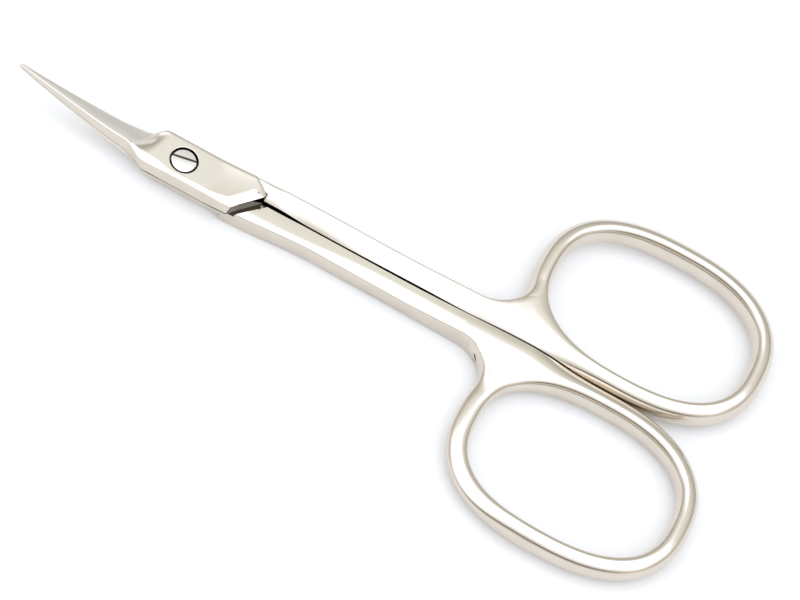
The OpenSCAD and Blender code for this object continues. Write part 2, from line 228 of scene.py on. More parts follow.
class Handle:
    """Plan and height of a forged handle on the +Y side, as functions on whole arrays, in mm.

    side is the half width at the box. lean is 1 where the crest rises outward and -1 where it falls.
    """
    # points across a rounded edge, points across the land between two edges
    EDGE_N, LAND_N = 13, 7
    # rows before the notch, along the shank, round the fillet, between the bows and round the bow
    FRONT_N, STEM_N, FILLET_N, GAP_N, BOW_N = 4, 90, 40, 60, 260

    def __init__(self, s, side, lean):
        k = 1.0 / MM
        self.side, self.lean = side, lean
        self.wire_w, self.wire_t = s.wire_w * k, s.wire_t * k
        # reach and power of the rounding from the hole, the bow's rim, the inner face and the side
        self.hole_reach, self.hole_power = 1.1, 2.0
        self.rim_reach, self.rim_power = 2.3, 3.0
        self.inner_reach, self.inner_power = 1.35, 1.7
        self.side_reach, self.side_power = 0.5, 9.0
        # width of the dense points along a wall, and of the slope up from the inner edge
        self.edge_w, self.slope_w = 0.8, 1.8
        # half height on the other half's side, on the shank and on the bow, and the crest's tilt
        self.under_h, self.under_bow_h, self.tilt = 0.8, self.wire_t / 2 - 0.3, 0.075
        # gap between the shanks at the box and at the bows, and the slant of the first rows
        self.front_gap, self.gap, self.slant = 0.24, 0.12, 3.0
        self.bow_x = REACH - s.bow_len * k / 2
        self.bow_y = (self.gap + s.bow_w * k) / 2
        self.a = (s.bow_len * k - self.wire_w) / 2
        self.b = (s.bow_w * k - self.wire_w) / 2
        self.e = s.bow_square
        self.shank_w, self.shank_front = s.shank_w * k, s.shank_front_w * k
        self.shank_t, self.inner_t = s.shank_t * k, s.inner_t * k
        self.fillet_r = s.fillet_r * k
        self.turn_a = self.find_fillet()
        self.centre = self.bow(self.turn_a) + self.normal(self.turn_a) * (self.wire_w / 2 + self.fillet_r)
        self.fillet_x = self.centre[0]
        away = -self.normal(self.turn_a)
        self.fillet_top = math.atan2(away[1], away[0])
        t = np.linspace(0, 2 * math.pi, 1441)
        self.hole = self.bow(t) - self.normal(t) * self.wire_w / 2

    def bow(self, t):
        """Centre line of the bow: a superellipse, cos and sin each raised to 2 over the exponent."""
        c, s = np.cos(t), np.sin(t)
        return np.stack([self.bow_x + self.a * spow(c, 2 / self.e),
                         self.bow_y + self.b * spow(s, 2 / self.e)], -1)

    def normal(self, t):
        """Outward normal of that centre line: the gradient of its equation, made one long."""
        p = self.bow(t) - np.array([self.bow_x, self.bow_y])
        g = np.stack([spow(p[..., 0] / self.a, self.e - 1) / self.a,
                      spow(p[..., 1] / self.b, self.e - 1) / self.b], -1)
        return g / np.linalg.norm(g, axis=-1, keepdims=True)

    def find_fillet(self):
        """Angle on the bow where the fillet circle touches both the bow and the shank's edge, by halving."""
        lo, hi = math.radians(180.5), math.radians(225.0)
        for _ in range(40):
            m = (lo + hi) / 2
            miss = self.bow(m)[1] + self.normal(m)[1] * (self.wire_w / 2 + self.fillet_r)
            if miss - (self.shank_w + self.fillet_r) > 0:
                lo = m
            else:
                hi = m
        return (lo + hi) / 2

    def crest(self, x):
        """Half height of the crest: low on the shank, full on the bow, a little higher against the box."""
        swell_x = 26.0
        along_shank, at_box = 0.24, 0.14
        t = grow(x, start=swell_x, over=self.bow_x - self.a - 2 - swell_x)
        front = along_shank * fall(x, start=15.0, over=14.0) + at_box * fall(x, start=8.4, over=3.2)
        return mix(self.shank_t, self.wire_t, t) / 2 + front

    def crest_under(self, x):
        """Half height on the side of the other half's lap: thin behind the box, higher on the bow."""
        return mix(self.under_h, self.under_bow_h, grow(x, start=28.0, over=16.0))

    def meet(self, x):
        """0 on the shank to 1 where the two bows meet."""
        length = 11
        return ease((x - self.bow_x + length) / length)

    def inner_y(self, x):
        """Half of the gap between the shanks, a straight taper that opens a little more at the box."""
        more_at_box = 0.07
        taper = mix(self.front_gap, self.gap, clamp((x - REAR_POINT) / (self.bow_x - REAR_POINT))) / 2
        return taper + more_at_box * fall(x, start=9.0, over=5.0)

    def inner_h(self, x):
        """Half height of the flat inner face: lower along the shank, and a little less so at the box."""
        at_box, along_shank = 0.2, 0.26
        step = at_box * fall(x, start=9.0, over=5.0) - along_shank * fall(x, start=18.0, over=14.0)
        return (self.inner_t / 2 + step) * (1 - self.meet(x))

    def outer_y(self, x):
        """Outer edge of the shank, running out from the side of the box."""
        run = mix(self.shank_front, self.shank_w, clamp((x - REAR_POINT) / (self.fillet_x - REAR_POINT)))
        length = 7.0 if self.lean > 0 else 12.0
        return mix(self.side, run, grow(x, start=6.0, over=length))

    def dome(self, d, reach, power):
        """Rise of a rounded edge: 0 at the wall to 1 at reach, by sqrt(1 - (1 - d / reach)^power)."""
        return np.sqrt(1 - (1 - clamp(d / reach)) ** power)

    def leaning(self, x, y, tilt):
        """The crest with a tilt across it that levels off as tanh, and is flatter beside the box."""
        level, middle = 3.5, 2.0
        flattening, from_y = 0.8, 0.9
        flat = flattening * fall(x, start=9.0, over=4.0) * np.maximum(y - from_y, 0.0)
        return self.crest(x) + self.lean * tilt * (level * np.tanh(y / level) - middle - flat)

    def tapering(self, x, y, tilt):
        """The other half's side: level inside, and falling outward past a line, with a softened bend."""
        softness, longest = 0.01, 2.5
        line_at_box, line_behind = 2.0, 0.9
        past = y - mix(line_at_box, line_behind, grow(x, start=9.0, over=18.0))
        return self.crest_under(x) - tilt * (np.sqrt(past * past + softness) + np.minimum(past, longest)) / 2

    def inner_share(self, x, under):
        """Height of the inner edge as a share of the crest's."""
        if under:
            at_box, at_bow = 0.97, 0.9
            return mix(at_box, at_bow, grow(x, start=28.0, over=12.0)) * (1 - self.meet(x))
        return self.inner_h(x) / self.crest(x)

    def height(self, p, outer, hole=None, known=0, bow=False, under=False):
        """Half height: that of the crest, times the rise from the outer wall, the hole and the inner face.

        The distance to the hole is the step along its normal in the first known columns, and measured
        to the nearest point of its outline in the rest. The outer edge is sharp on the shank and turns
        round on the bow, by the angle about the middle of the fillet. The crest leans by a few degrees.
        """
        x, y = p[..., 0], p[..., 1]
        u = self.meet(x)
        tilt = self.tilt * fall(x, start=44.0, over=8.0)
        h = self.tapering(x, y, tilt) if under else self.leaning(x, y, tilt)
        turn = np.arctan2(y - self.centre[1], x - self.centre[0]) + math.pi / 2
        soft = 1.0 if bow else ease(turn / (self.fillet_top + math.pi / 2)) * (x > self.fillet_x)
        reach, power = mix(self.side_reach, self.rim_reach, soft), mix(self.side_power, self.rim_power, soft)
        h = h * self.dome(outer, reach, power)
        if not bow:
            inner = y - self.inner_y(x)
            slope = 1 - (1 - clamp(inner / self.slope_w)) ** 2
            reach, power = mix(self.inner_reach, self.rim_reach, u), mix(self.inner_power, self.rim_power, u)
            h = h * mix(self.inner_share(x, under), 1.0, mix(slope, self.dome(inner, reach, power), u))
        if hole is not None:
            d = hole
            if known < p.shape[1]:
                far = p[:, known:].reshape(-1, 2)
                gap = np.sqrt(((far[:, None] - self.hole[None]) ** 2).sum(-1)).min(1).reshape(len(p), -1)
                d = np.concatenate([hole[:, :known], gap], 1)
            h = h * self.dome(d, self.hole_reach, self.hole_power)
        return np.concatenate([p, h[..., None]], -1)

    def edge(self, path, inward, width=None):
        """Plan points from a wall inward, steps of width (1 - cos), and those steps."""
        a = np.linspace(0, math.pi / 2, self.EDGE_N)
        width = np.full(len(path), self.edge_w) if width is None else width
        d = width[:, None] * (1 - np.cos(a))[None]
        return path[:, None] + inward[:, None] * d[..., None], d

    def join(self, left, right):
        """Plan points across the land between two edges, evenly spaced on the straight line."""
        t = np.linspace(0, 1, self.LAND_N + 2)[1:-1][None, :, None]
        return np.concatenate([left, mix(left[:, -1:], right[:, :1], t), right], 1)

    def fillet_gap(self, p):
        """Distance to the wall of the fillet."""
        return np.linalg.norm(p - self.centre, axis=-1) - self.fillet_r

    def hole_edge(self, t):
        """Plan points from the wall of the hole outward, at angles t on the bow."""
        n = self.normal(t)
        return self.edge(self.bow(t) - n * self.wire_w / 2, n)

    def stem(self, x, slant, under):
        """Rows across the shank, slanted where they follow the shoulder of the box."""
        one = np.ones_like(x)
        largest_share = 0.45
        width = np.minimum(self.edge_w, largest_share * (self.outer_y(x) - self.inner_y(x)))
        outer = self.edge(np.stack([x, self.outer_y(x)], -1), np.stack([0 * x, -one], -1), width)[0]
        inner = self.edge(np.stack([x, self.inner_y(x)], -1), np.stack([0 * x, one], -1), width)[0][:, ::-1]
        p = self.join(outer, inner)
        g = self.height(p, self.outer_y(x)[:, None] - p[..., 1], under=under)
        g[..., 0] += self.slant * slant[:, None] * (1 - g[..., 1] / self.side)
        return g

    def sheets(self, under):
        """One side's surface as grids of (x, y, half height): shank, fillet, web, between the bows, bow."""
        start, end = self.turn_a, math.radians(270)
        web_start, web_end = start + math.radians(13), start + math.radians(20)
        under_lap_x = 6.2
        stem_x = np.concatenate([np.linspace(under_lap_x, NOTCH_X, self.FRONT_N + 1)[:-1],
                                 np.linspace(NOTCH_X, self.fillet_x, self.STEM_N)])
        slant = 1 - ease(2 * (stem_x - NOTCH_X) / (self.fillet_x - NOTCH_X))
        stem = self.stem(stem_x, slant, under)
        s = np.linspace(0, 1, self.FILLET_N)
        left, d = self.hole_edge(mix(start, web_start, s))
        a = mix(self.fillet_top, -math.pi / 2, s)
        way = np.stack([np.cos(a), np.sin(a)], -1)
        p = self.join(left, self.edge(self.centre + way * self.fillet_r, way)[0][:, ::-1])
        fillet = self.height(p, self.fillet_gap(p), d, self.EDGE_N, under=under)
        land = stem[-1, self.EDGE_N - 1:self.EDGE_N + self.LAND_N + 1, :2]
        left, d = self.hole_edge(mix(web_start, web_end, np.linspace(0, 1, len(land))))
        p = self.join(left, land[:, None])
        web = self.height(p, self.fillet_gap(p), d, self.EDGE_N, under=under)
        s = np.linspace(0, 1, self.GAP_N)
        gx = mix(self.fillet_x, self.bow_x, s)
        left, d = self.hole_edge(mix(web_end, end, s))
        outward = np.tile([0.0, 1.0], (len(gx), 1))
        inner = self.edge(np.stack([gx, self.inner_y(gx)], -1), outward)[0][:, ::-1]
        p = self.join(left, inner)
        gap = self.height(p, self.fillet_gap(p), d, self.EDGE_N, under=under)
        t = np.linspace(end, start + 2 * math.pi, self.BOW_N)
        n = self.normal(t)
        left, d = self.hole_edge(t)
        p = self.join(left, self.edge(self.bow(t) + n * self.wire_w / 2, -n)[0][:, ::-1])
        across = np.linalg.norm(p - p[:, :1], axis=-1)
        across[:, -1] = self.wire_w
        bow = self.height(p, self.wire_w - across, across, p.shape[1], True, under)
        return stem, [fillet, web, gap, bow]


def handle_sheets(s, side, lean):
    """Closed surface of a handle: the upper surface, the thinner one below, and the flat walls between.

    Each surface lies its half height from the parting plane. In front of the notch the underside is
    flat, over the other half's lap.
    """
    h = Handle(s, side, lean)
    (stem, rest), (stem_under, rest_under) = h.sheets(False), h.sheets(True)
    front, rear, rear_under = stem[:h.FRONT_N + 1].copy(), stem[h.FRONT_N:], stem_under[h.FRONT_N:]
    lap = 2 * FACE_GAP
    front[..., 2] = np.maximum(front[..., 2], lap)

    def turned(g, sign):
        """The grid with its half heights set above, 1, or below, -1, the parting plane."""
        g = g.copy()
        g[..., 2] = FACE + sign * g[..., 2]
        return g

    def wall(a, b):
        """Flat strip between two lines of points."""
        return np.stack([a, b], 0)

    floor = front.copy()
    floor[..., 2] = lap
    out = [turned(front, 1), turned(floor, 1)]
    for g, below in zip([rear] + rest, [rear_under] + rest_under):
        out += [turned(g, 1), turned(below, -1)]
    out.append(wall(turned(front, 1)[:, -1], turned(floor, 1)[:, -1]))
    out.append(wall(turned(rear, 1)[:, -1], turned(rear_under, -1)[:, -1]))
    out.append(wall(turned(rest[2], 1)[:, -1], turned(rest_under[2], -1)[:, -1]))
    out.append(wall(turned(front, 1)[0], turned(floor, 1)[0]))
    out.append(wall(turned(floor, 1)[-1], turned(rear_under, -1)[0]))
    # painted shade: the hidden floor under the lap and the walls between the shanks are painted dark, for the
    # shade in the line between the shanks
    walls = 5
    painted_shade = [0.0, 1.0] + [0.0] * (len(out) - 2 - walls) + [1.0] * walls
    return out, painted_shade


# Blade and box joint

def mating_z(r):
    """Height of the face that the blades meet on: a power of the distance from the pivot, turned about it."""
    return FACE + TIP_RISE * np.maximum(0.0, (r - BEND_START) / (TIP - BEND_START)) ** 1.5


class Blade:
    """A blade with its half of the box joint, as rows across it, in mm.

    v runs across from the spine, -, to the cutting edge, +; h runs up from the mating face, and t is
    the distance from the tip.
    """
    # heights up the near wall as shares, then the number of points across the bevel and the flank
    WALL = (0.0, 0.07, 0.14, 0.35, 0.6, 0.8, 1.0)
    BEVEL_N, FLANK_N, EDGE_N = 8, 26, 9
    # distance from the tip at which the blade widens to the box, and at which it reaches its corner
    BOX_T, CORNER_T = 14.2, 16.5
    # columns of the ridge and of the far end of the flank
    RIDGE = len(WALL) + BEVEL_N - 1
    FLANK_END = RIDGE + FLANK_N

    def __init__(self, s, edge):
        k = 1.0 / MM
        self.tip_half, self.taper = s.tip_half * k, s.taper
        self.bevel_w, self.bevel_t, self.hollow = s.bevel_w * k, s.bevel_t * k, s.hollow
        self.side, self.round_v, self.round_h = edge
        self.full = BOX_TOP - FACE - FACE_GAP

    def tip(self, t):
        """Rounding of the blunt tip: the square root of the distance from a point just in front of it."""
        at_end, length = 0.45, 0.5
        return np.sqrt(clamp(at_end + t / length))

    def near(self, t):
        """Half width on the spine side: a straight taper, and a power that flares to the box's corner."""
        flare_w, corner = 1.05, 2.6
        flare = flare_w * clamp((t - self.BOX_T) / 3.4) ** 1.7
        return np.minimum((self.tip_half + self.taper * t) * self.tip(t) + flare, corner)

    def far(self, t):
        """Half width on the cutting side: a straight taper, blended out to the corner of the box."""
        more_taper, widest = 0.013, 1.9
        blade = (self.tip_half + (self.taper + more_taper) * t) * self.tip(t)
        return mix(np.minimum(blade, widest), self.side, grow(t, start=self.CORNER_T, over=1.5))

    def rise(self, t):
        """Height of the ridge over the mating face: straight to the middle, then the power 1.5 of the way."""
        at_tip, at_middle, length = 0.36, 0.98, TIP - BEND_START
        s = np.clip(t / length, 0, 1)
        low = mix(at_tip, at_middle, np.minimum(s * 2, 1))
        return np.where(s < 0.5, low, mix(at_middle, self.full, clamp(s * 2 - 1) ** 1.5))

    def fill(self, t, a):
        """0 on the ground flank to 1 on the flat of the box, along the arc that the grinding wheel leaves.

        a runs across the flank. Near the ridge the arc runs out softly, a smooth step; at the far edge it
        starts as a step, 1 - (1 - run)^3.
        """
        at_ridge, at_edge = 14.0, 16.3
        long_at_ridge, long_at_edge = 3.0, 2.0
        run = clamp((t - mix(at_ridge, at_edge, a ** 0.8)) / mix(long_at_ridge, long_at_edge, a))
        return mix(ease(run), 1 - (1 - run) ** 3, a ** 5)

    def box_band(self, x):
        """Share by which the bevel along the box narrows in its middle."""
        half = 3.6
        return grow(x, start=-half, over=3.0) * fall(x, start=half, over=2.4)

    def section(self, t):
        """Across one row: near wall, bevel or ridge, flank or flat, far edge. Gives v and h, whole arrays."""
        near, far, rise = self.near(t), self.far(t), self.rise(t)
        edge_fill = self.fill(t, 1.0)
        blade_edge_t, box_edge_t = 0.08, 0.36
        edge_t = blade_edge_t + box_edge_t * grow(t, start=12.5, over=4.5)
        box = grow(t, start=self.BOX_T, over=3.2)
        box_ridge_v, narrowing = -1.6, 0.4
        narrower = narrowing * self.box_band(t - TIP)
        blade_band, blade_ridge_v = 0.06 + 0.006 * t, -near * (0.5 + 0.014 * t)
        band = mix(blade_band, self.bevel_w - narrower, box)
        drop = band / 2
        ridge = mix(blade_ridge_v, box_ridge_v - narrower, box)
        one = np.ones_like(t)
        wall_top_v = ridge - band
        v, h = [], []
        # near wall, from the mating face to the lower edge of the bevel
        for a in self.WALL:
            v.append(mix(-near, wall_top_v, a ** 1.12))
            h.append((rise - drop) * a * one)
        # bevel, with softened edges
        for a in np.linspace(0, 1, self.BEVEL_N + 1)[1:]:
            v.append(mix(wall_top_v, ridge, a))
            h.append(rise - drop * (1 - a) ** 1.3)
        # flank or flat
        round_v, round_h = mix(0.03 * one, self.round_v, edge_fill), mix(0.05 * one, self.round_h, edge_fill)
        for a in np.linspace(0, 1, self.FLANK_N + 1)[1:]:
            v.append(mix(ridge, far - round_v, a))
            flank = mix(rise, edge_t, a) - self.hollow * rise * np.sin(math.pi * a)
            h.append(mix(np.maximum(flank, 0.06), self.full * one, self.fill(t, a)))
        top_h = h[-1]
        # far edge: a rounding on the box, the cutting edge on the blade
        for a in np.linspace(0, math.pi / 2, self.EDGE_N + 1)[1:]:
            v.append(far - round_v + round_v * math.sin(a))
            h.append(np.maximum(top_h - round_h * (1 - math.cos(a)), 0.01))
        v.append(far)
        h.append(0.0 * one)
        return np.stack(v, -1), np.stack(h, -1)

    def rows(self):
        """Rows from the tip to the front of the flat round the screw, a little closer at the box."""
        margin = 2.5
        t = 1 - np.linspace(1, 0, 90) ** 1.1
        t = t / t[-1] * (TIP - margin)
        v, h = self.section(t)
        x = np.repeat((t - TIP)[:, None], v.shape[1], 1)
        return x, v, h


def rear_x(v, apex_v):
    """Rear end of the lap: the shoulder line up to the rear point, then the crease out to the far side."""
    at_v = [-2.6, apex_v, 1.5, 2.25, 2.5]
    at_x = [6.9, REAR_POINT, 9.2, 8.3, 7.9]
    return np.interp(v, at_v, at_x)


def around_hole(inner_r, chamfer_w, ring):
    """Rings of (x, v) from the hole's edge, over its chamfer, out to a ring of points by straight blends."""
    way = ring / np.linalg.norm(ring, axis=1, keepdims=True)
    chamfer = way * (inner_r + chamfer_w)
    rings = [way * inner_r, chamfer] + [mix(chamfer, ring, a) for a in np.linspace(0, 1, 8)[1:]]
    return way, np.stack(rings, 0)


def blade_sheets(s, up, apex_v, hole_r, hole_t, edge):
    """Closed surface of a blade and its lap, with the screw's hole let into the flat.

    The rows run from the tip to the flat, across the flat, and on to the slanted rear end.
    """
    b = Blade(s, edge)
    x, v, h = b.rows()
    # the lap continues with the last row's section, whose columns run to the slanted rear end
    last_v = v[-1].copy()
    j_apex = int(np.argmin(np.abs(last_v - apex_v)))
    last_v[j_apex] = apex_v
    v[-1] = last_v
    hole_x = np.linspace(x[-1, 0], -x[-1, 0], 21)
    mid = np.repeat(hole_x[:, None], len(last_v), 1)
    mv, mh = b.section(hole_x + TIP)
    mv[0] = last_v
    s_rear = np.linspace(0, 1, 26) ** 0.8
    rx = mix(hole_x[-1], rear_x(last_v, apex_v)[None], s_rear[:, None])
    rv, rh = b.section(rx[:, 0] + TIP)
    rv[:, j_apex:] = mix(rv[:, j_apex:], last_v[None, j_apex:], ease(s_rear * 3)[:, None])
    mv[-1] = rv[0]
    # bevel along the shoulder and a soft fall to the crease
    bevel_run, crease_t, crease_run = 0.95, 0.07, 0.2
    to_end = (rear_x(last_v, apex_v)[None] - rx) * 0.72
    drop = np.where(rv < apex_v, b.bevel_t * 1.1 * clamp(1 - to_end / bevel_run),
                    crease_t * clamp(1 - to_end / crease_run))
    rh = np.maximum(np.minimum(rh, b.full - drop), 0)

    def place(px, pv, ph, face):
        """Points at x, v and height h, bent up with the blades; face puts them on the mating face."""
        r = np.hypot(px, pv)
        z = mating_z(r) + up * (FACE_GAP + (0 if face else ph))
        return np.stack([px, PIVOT_Y + up * pv, np.broadcast_to(z, px.shape)], -1)

    def both(px, pv, ph):
        """The outer surface and the mating face below it."""
        return [place(px, pv, ph, False), place(px, pv, ph * 0, True)]

    out, mask = [], []
    out += both(x, v, h)
    out.append(np.stack([out[0][0], out[1][0]], 0))
    t = x + TIP
    # only the flank is ground, from the ridge to the edge and up to the arc
    flank = (np.arange(x.shape[1]) > b.RIDGE)[None] * np.ones_like(x)
    mask += [flank * fall(t - 0.8 * v, start=15.0, over=2.2), np.ones_like(x), np.zeros((2, x.shape[1]))]
    # flat round the hole: a patch from the circle out to the rectangle of the grid that it replaces
    j0, j1 = b.RIDGE, b.FLANK_END
    for cols in (slice(0, j0 + 1), slice(j1, None)):
        out.append(place(mid[:, cols], mv[:, cols], mh[:, cols], False))
        mask.append(np.zeros_like(mid[:, cols]))
    out.append(place(mid, mv, mh, True))
    mask.append(np.zeros_like(mid))
    ring = np.concatenate([
        np.stack([hole_x[:-1], mv[:-1, j0]], -1),
        np.stack([mid[-1, j0:j1], mv[-1, j0:j1]], -1),
        np.stack([hole_x[:0:-1], mv[:0:-1, j1]], -1),
        np.stack([mid[0, j1:j0:-1], mv[0, j1:j0:-1]], -1),
        np.array([[hole_x[0], mv[0, j0]]])])
    chamfer_w, chamfer_t = 0.07, 0.05
    way, patch = around_hole(hole_r, chamfer_w, ring)
    ph = np.full(patch.shape[:2], b.full)
    ph[0] = b.full - chamfer_t
    out.append(place(patch[..., 0], patch[..., 1], ph, False))
    mask.append(np.zeros(patch.shape[:2]))
    # wall of the hole and its floor
    depth = np.array([b.full - chamfer_t, b.full - hole_t, b.full - hole_t])
    radius = np.array([hole_r, hole_r, 0.0])
    wall = way[None] * radius[:, None, None]
    out.append(place(wall[..., 0], wall[..., 1], np.repeat(depth[:, None], len(way), 1), False))
    mask.append(np.zeros(wall.shape[:2]))
    out += both(rx, rv, rh)
    mask += [np.zeros_like(rx)] * 2
    top, face = place(rx, rv, rh, False), place(rx, rv, rh * 0, True)
    out.append(np.stack([top[-1], face[-1]], 0))
    mask.append(np.zeros((2, rx.shape[1])))
    # painted shade in the hole, on the rear end, and in the joint under the near wall, where shade falls;
    # less of it in the middle of the box's bevel
    past_apex, less_shade = 0.3, 0.6
    painted_shade = [0.0] * (len(out) - 4) + [1.0, 0.0, 0.0, (last_v < apex_v + past_apex)[None] * 1.0]
    seam = (np.arange(x.shape[1]) < 2)[None] * 1.0
    painted_shade[0] = seam * grow(t, start=b.CORNER_T, over=1.5)
    painted_shade[3] = seam[:, :out[3].shape[1]] * mix(1.0, less_shade, b.box_band(hole_x))[:, None]
    painted_shade[-3] = seam * mix(1.0, less_shade, b.box_band(rx[:, :1]))
    return out, mask, painted_shade


def half_object(name, up, handle, blade):
    """One forged half: handle, lap and blade in one object. up is 1 for the half on top, -1 below."""
    shape = UPPER_SHAPE if up > 0 else LOWER_SHAPE
    sheets, handle_painted_shade = handle_sheets(handle, shape["side"], up)
    if up < 0:
        sheets = [g * np.array([1.0, -1.0, -1.0]) + np.array([0.0, 0.0, BOX_TOP]) for g in sheets]
    masks = [np.zeros(g.shape[:2]) for g in sheets]
    more, more_masks, blade_painted_shade = blade_sheets(blade, up, -PIVOT_Y * up, *shape["hole"], shape["edge"])
    # the painted shade of crevices, the hole and the joints goes along as an attribute
    handle_obj = build_mesh(name + "_handle", sheets, sharp_deg=40.0, ground=masks, painted_shade=handle_painted_shade)
    blade_obj = build_mesh(name, more, sharp_deg=30.0, ground=more_masks, painted_shade=blade_painted_shade)
    joined = bmesh.new()
    joined.from_mesh(blade_obj.data)
    joined.from_mesh(handle_obj.data)
    joined.to_mesh(blade_obj.data)
    joined.free()
    mesh = handle_obj.data
    bpy.data.objects.remove(handle_obj)
    bpy.data.meshes.remove(mesh)
    return blade_obj


# Pivot screw

def screw_sheets(head_r, head_t, slot_w, slot_t, turn):
    """Screw head as rows along the slot's direction, each from rim to rim; the slot is a step between rows.

    The top is a low crown whose height falls with the square of the radius, and rounds off at the rim.
    """
    half, shift = slot_w / 2, 0.1
    side_n, slot_n = 22, 5
    rim, lip_t, crown, below = 0.16, 0.12, 0.08, 0.005
    side = np.sin(np.linspace(0, math.pi / 2, side_n))
    v = np.concatenate([mix(shift - half, -head_r, side)[::-1], shift + np.linspace(-half, half, slot_n),
                        mix(shift + half, head_r, side)])
    low = np.zeros(len(v), bool)
    low[side_n:side_n + slot_n] = True
    chord = np.sqrt(np.maximum(head_r ** 2 - v ** 2, 0.0))
    s = np.sin(np.linspace(-math.pi / 2, math.pi / 2, 41))
    x = chord[:, None] * s[None]
    y = np.repeat(v[:, None], len(s), 1)
    r = np.hypot(x, y)
    lip = clamp((r - (head_r - rim)) / rim)
    z = BOX_TOP - below - crown * (r / head_r) ** 2 - lip_t * (1 - np.sqrt(1 - lip ** 2 + 1e-9))
    z = np.where(low[:, None], BOX_TOP - slot_t, z)
    top = np.stack([x, y, z], -1)
    base = top.copy()
    base[..., 2] = BOX_TOP - head_t
    left = np.stack([top[:, 0], base[:, 0]], 0)
    right = np.stack([top[:, -1], base[:, -1]], 0)
    c, sn = math.cos(turn), math.sin(turn)
    out = []
    # painted shade: the wall on the far side of the slot is painted dark
    painted_dark = [(np.arange(len(v)) == side_n + slot_n - 1)[:, None] * 1.0, 0.0, 0.0, 0.0]
    for g in (top, base, left, right):
        q = g.copy()
        q[..., 0] = g[..., 0] * c - g[..., 1] * sn
        q[..., 1] = g[..., 0] * sn + g[..., 1] * c + PIVOT_Y
        out.append(q)
    return out, painted_dark


def shaft_sheets():
    """Journal and threaded end: a profile of radius over height turned about the pivot, thread as a sine."""
    end_z, chamfer_z, thread_z, seat_z, head_z = 0.06, 0.14, 0.16, FACE - 0.02, 3.1
    end_r, thread_r, journal_r = 0.74, 0.82, 1.0
    depth, pitch, round_n = 0.03, 0.4, 49
    z = np.concatenate([[end_z, end_z, chamfer_z], np.linspace(thread_z, seat_z, 90),
                        [seat_z, head_z, head_z]])
    thread = thread_r + depth * np.sin(2 * math.pi * z / pitch)
    r = np.where(z < seat_z - 0.001, thread, journal_r)
    r[0], r[1], r[2], r[-1] = 0.0, end_r, thread_r, 0.0
    a = np.linspace(0, 2 * math.pi, round_n)
    g = np.stack([r[:, None] * np.cos(a), r[:, None] * np.sin(a) + PIVOT_Y,
                  np.repeat(z[:, None], round_n, 1)], -1)
    return [g]


# Finishes

def new_material(name):
    """Empty material with one Principled shader on its output."""
    mat = bpy.data.materials.new(name)
    mat.use_nodes = True
    tree = mat.node_tree
    tree.nodes.clear()
    out = tree.nodes.new("ShaderNodeOutputMaterial")
    shader = tree.nodes.new("ShaderNodeBsdfPrincipled")
    tree.links.new(shader.outputs[0], out.inputs[0])
    return mat, tree, shader


def node(tree, kind, **values):
    """New node, with values for its sockets, or else for its properties."""
    n = tree.nodes.new(kind)
    for key, value in values.items():
        if key in n.inputs:
            n.inputs[key].default_value = value
        else:
            setattr(n, key, value)
    return n


def link(tree, a, out, b, inp):
    """Joins an output of node a to an input of node b."""
    tree.links.new(a.outputs[out], b.inputs[inp])


def map_range(tree, a, out, start, end, low=0.0, high=1.0, kind="LINEAR"):
    """Map Range node on an output of node a: start to end becomes low to high."""
    n = node(tree, "ShaderNodeMapRange", interpolation_type=kind)
    for key, value in zip(("From Min", "From Max", "To Min", "To Max"), (start, end, low, high)):
        n.inputs[key].default_value = value
    link(tree, a, out, n, "Value")
    return n


def darker(colour, share):
    """The colour at a share of its brightness."""
    return [c * share for c in colour[:3]] + [1.0]


def plated_metal(name, plate, ground, fine):
    """Bright nickel plate with faint mottling and hairlines, satin grinding where ground is 1, and painted
    shade, nearly black, in crevices, the hole, the slot and the joints.
    """
    mat, tree, shader = new_material(name)
    shader.inputs["Metallic"].default_value = 1.0
    coord = node(tree, "ShaderNodeTexCoord")
    cloud = node(tree, "ShaderNodeTexNoise", Scale=260.0, Detail=3.0, Roughness=0.5)
    link(tree, coord, "Object", cloud, "Vector")
    mask = node(tree, "ShaderNodeAttribute", attribute_name="ground")
    tint = node(tree, "ShaderNodeMixRGB", Color1=plate, Color2=darker(plate, 0.93))
    mottle = map_range(tree, cloud, "Fac", 0.4, 0.75)
    link(tree, mottle, "Result", tint, "Fac")
    # grinding lines run across the blade
    turn = node(tree, "ShaderNodeMapping")
    turn.inputs["Scale"].default_value = (9000.0, 260.0, 260.0)
    link(tree, coord, "Object", turn, "Vector")
    lines = node(tree, "ShaderNodeTexNoise", Scale=1.0, Detail=3.0, Roughness=0.6)
    link(tree, turn, "Vector", lines, "Vector")
    steel = node(tree, "ShaderNodeMixRGB", Color1=ground, Color2=darker(ground, 0.86))
    link(tree, lines, "Fac", steel, "Fac")
    colour = node(tree, "ShaderNodeMixRGB")
    link(tree, mask, "Fac", colour, "Fac")
    link(tree, tint, "Color", colour, "Color1")
    link(tree, steel, "Color", colour, "Color2")
    # painted shade: where the attribute is 1 the colour is painted nearly black, for the shade in crevices,
    # the hole, the slot and the joints
    painted_dark = node(tree, "ShaderNodeAttribute", attribute_name="painted_shade")
    dark = node(tree, "ShaderNodeMixRGB", Color2=(0.03, 0.021, 0.014, 1.0))
    link(tree, painted_dark, "Fac", dark, "Fac")
    link(tree, colour, "Color", dark, "Color1")
    link(tree, dark, "Color", shader, "Base Color")
    # roughness: low on the plate, higher on the ground steel
    base = map_range(tree, cloud, "Fac", 0.3, 0.7, low=0.10, high=0.17)
    rough = map_range(tree, mask, "Fac", 0.0, 1.0, high=0.42)
    link(tree, base, "Result", rough, "To Min")
    link(tree, rough, "Result", shader, "Roughness")
    # hairlines and grinding lines as bump
    scratch = node(tree, "ShaderNodeTexNoise", Scale=fine, Detail=2.0, Roughness=0.5)
    link(tree, coord, "Object", scratch, "Vector")
    height = node(tree, "ShaderNodeMixRGB")
    link(tree, mask, "Fac", height, "Fac")
    link(tree, scratch, "Fac", height, "Color1")
    link(tree, lines, "Fac", height, "Color2")
    bump = node(tree, "ShaderNodeBump", Strength=0.12, Distance=0.00002)
    link(tree, height, "Color", bump, "Height")
    link(tree, bump, "Normal", shader, "Normal")
    return mat


